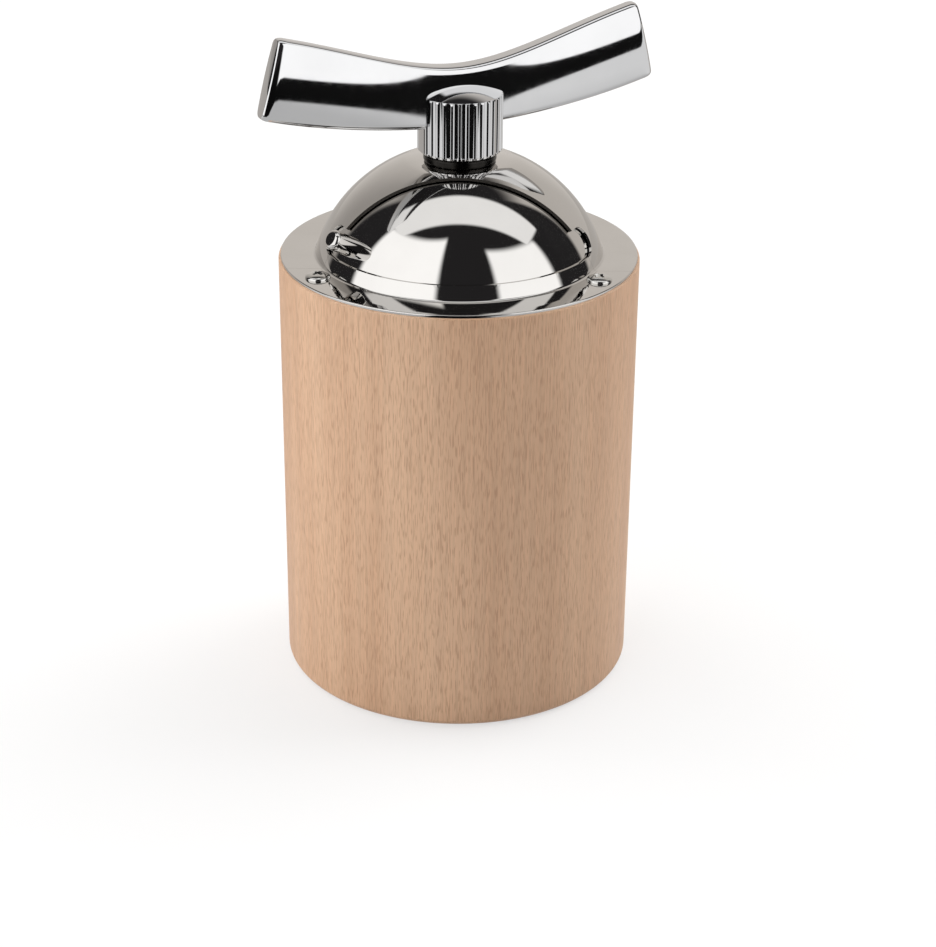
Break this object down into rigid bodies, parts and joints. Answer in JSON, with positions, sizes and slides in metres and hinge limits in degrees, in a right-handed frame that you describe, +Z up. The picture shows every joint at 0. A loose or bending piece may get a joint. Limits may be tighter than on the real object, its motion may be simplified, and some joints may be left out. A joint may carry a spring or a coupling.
{
  "type": "hand-cranked flaxseed mill",
  "caption": "Table seed mill: round beech body, polished steel dome with a turning filling hatch, and a bowed chrome T-bar handle driving a grinding cone in the foot.",
  "frame": {"origin": "on the table, on the mill's upright axis", "axes": "+Z up along the handle's axis; -Y to the front, where the filling mouth is; +X to the right"},
  "size_m": [0.0738, 0.07, 0.1318],
  "materials": {
    "beech_wood": "fine-sanded beech, oiled matt",
    "polished_steel": "mirror-polished stainless sheet",
    "chromed_casting": "polished chrome plating on a zinc casting",
    "screw_steel": "bright plated steel",
    "dark_steel": "blackened steel",
    "shaft_steel": "drawn stainless bar",
    "hardened_steel": "case-hardened steel",
    "zinc_casting": "as-cast, blasted",
    "bearing_bronze": "sintered bronze",
    "black_plastic": "moulded, matt"
  },
  "bodies": {
    "mill_body": {"wooden_body": "beech_wood", "dome_cover": "polished_steel", "cover_screws": "screw_steel", "neck_bush": "dark_steel", "hatch_washer": "black_plastic", "bush_nut": "dark_steel", "stator_housing": "zinc_casting", "grinding_ring": "hardened_steel", "bearing_bridge": "zinc_casting", "foot_bush": "bearing_bronze", "mechanism_screws": "screw_steel"},
    "hatch": {"hatch_shutter": "polished_steel", "hatch_pin": "polished_steel", "hatch_pin_nut": "dark_steel"},
    "crank": {"handle_bar": "chromed_casting", "knurled_hub": "chromed_casting", "hub_grub_screw": "dark_steel", "hub_washer": "black_plastic", "drive_shaft": "shaft_steel", "grinding_cone": "hardened_steel", "cone_washer": "bearing_bronze", "rotor_spring": "screw_steel", "spring_seat": "shaft_steel", "cross_pin": "shaft_steel", "shaft_clip": "dark_steel"}
  },
  "joints": [
    {"name": "handle_turn", "type": "hinge", "parent": "mill_body", "child": "crank", "pos_m": [0, 0, 0.107], "axis": [0, 0, 1], "continuous": true},
    {"name": "hatch_turn", "type": "hinge", "parent": "mill_body", "child": "hatch", "pos_m": [0, 0, 0.1038], "axis": [0, 0, 1], "range_deg": [-14, 121]}
  ]
}
